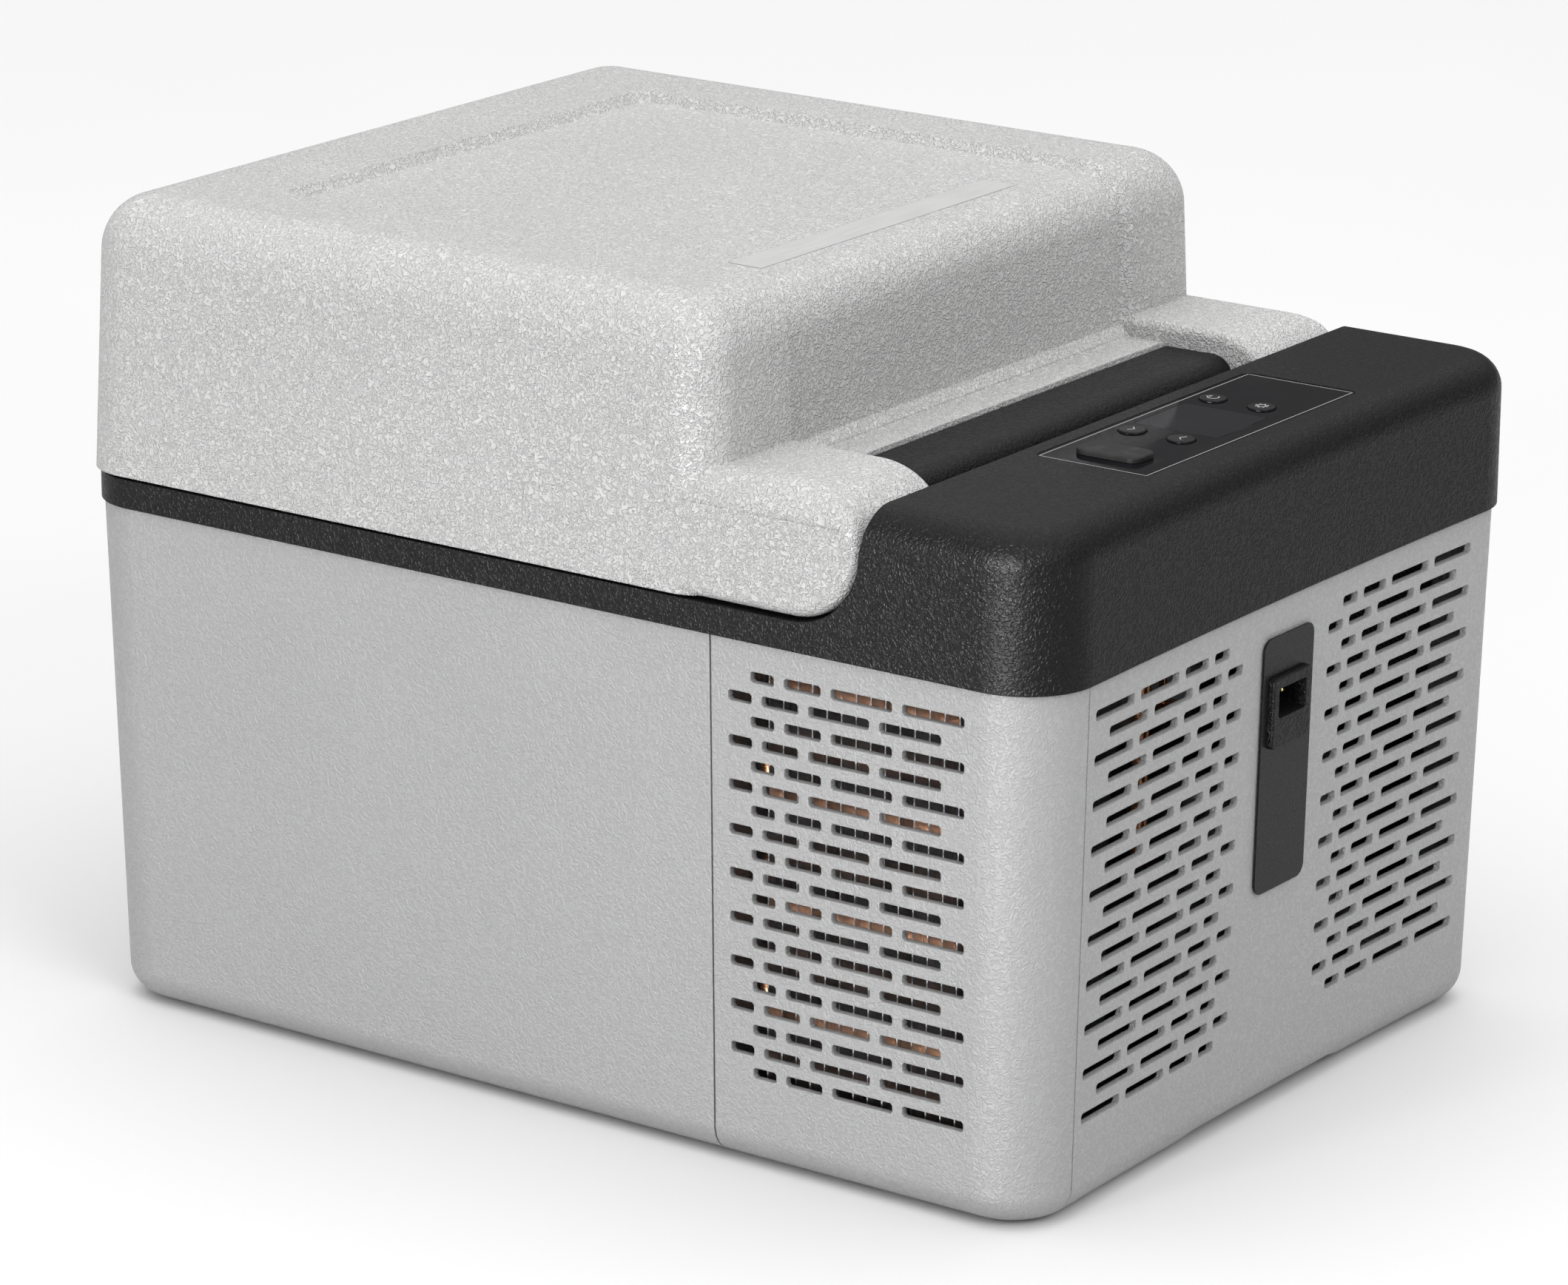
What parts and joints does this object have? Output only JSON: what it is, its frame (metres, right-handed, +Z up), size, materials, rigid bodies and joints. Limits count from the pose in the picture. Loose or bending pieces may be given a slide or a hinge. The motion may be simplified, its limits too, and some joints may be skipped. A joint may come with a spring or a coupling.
{
  "type": "compressor cooler fridge",
  "caption": "Small portable compressor fridge: insulated tub with a top lid hinged at the compressor end, slotted vents, sloping hinge arms, control panel and power inlet.",
  "frame": {"origin": "middle of the footprint, on the floor under the feet", "axes": "+X towards the compressor and control-panel end, +Z up, +Y across"},
  "size_m": [0.4241, 0.3178, 0.3052],
  "materials": {
    "body_plastic": "matte",
    "lid_plastic": "matte",
    "black_plastic": "satin",
    "panel_plastic": "gloss",
    "display_lens": "gloss",
    "button_plastic": "satin",
    "label_plastic": "satin",
    "liner_plastic": "satin",
    "foam": "matte",
    "rubber": "matte",
    "steel": "satin",
    "plated_steel": "polished",
    "painted_steel": "satin",
    "aluminium": "satin",
    "copper": "satin",
    "brass": "polished",
    "circuit_board": "satin",
    "wire": "satin"
  },
  "bodies": {
    "body": {"tub_shell": "body_plastic", "compressor_cover": "body_plastic", "rubber_feet": "rubber", "top_frame": "black_plastic", "hinge_cover": "black_plastic", "hinge_pins": "steel", "inner_liner": "liner_plastic", "tub_foam": "foam", "evaporator_plate": "aluminium", "evaporator_tube": "aluminium", "base_pan": "painted_steel", "base_screws": "steel", "compressor": "painted_steel", "terminal_cover": "black_plastic", "compressor_mounts": "rubber", "condenser_coil": "copper", "condenser_fins": "aluminium", "filter_drier": "copper", "refrigerant_pipes": "copper", "fan_frame": "black_plastic", "control_board": "circuit_board", "display_board": "circuit_board", "control_panel": "panel_plastic", "display_window": "display_lens", "usb_socket": "plated_steel", "dc_socket": "black_plastic", "socket_pins": "brass", "socket_plate": "label_plastic", "dc_leads": "wire", "panel_cable": "wire"},
    "lid": {"lid_shell": "lid_plastic", "lid_inner_panel": "liner_plastic", "lid_foam": "foam", "lid_gasket": "rubber"},
    "fan": {"fan_rotor": "black_plastic"},
    "usb_flap": {"usb_cover": "rubber"},
    "settings_key": {"button_settings": "button_plastic"},
    "power_key": {"button_power": "button_plastic"},
    "up_key": {"button_up": "button_plastic"},
    "down_key": {"button_down": "button_plastic"}
  },
  "joints": [
    {"name": "lid_hinge", "type": "hinge", "parent": "body", "child": "lid", "pos_m": [0.108, 0, 0.231], "axis": [0, 1, 0], "range_deg": [0, 95]},
    {"name": "fan_spin", "type": "hinge", "parent": "body", "child": "fan", "pos_m": [0.146, -0.1015, 0.1], "axis": [0, 1, 0], "continuous": true},
    {"name": "usb_flap_hinge", "type": "hinge", "parent": "body", "child": "usb_flap", "pos_m": [0.168, -0.059, 0.2473], "axis": [1, 0, 0], "range_deg": [0, 85]},
    {"name": "settings_press", "type": "slide", "parent": "body", "child": "settings_key", "axis": [0, 0, -1], "range_m": [0, 0.0005], "stiffness_N_per_m": 1000},
    {"name": "power_press", "type": "slide", "parent": "body", "child": "power_key", "axis": [0, 0, -1], "range_m": [0, 0.0005], "stiffness_N_per_m": 1000},
    {"name": "up_press", "type": "slide", "parent": "body", "child": "up_key", "axis": [0, 0, -1], "range_m": [0, 0.0005], "stiffness_N_per_m": 1000},
    {"name": "down_press", "type": "slide", "parent": "body", "child": "down_key", "axis": [0, 0, -1], "range_m": [0, 0.0005], "stiffness_N_per_m": 1000}
  ]
}
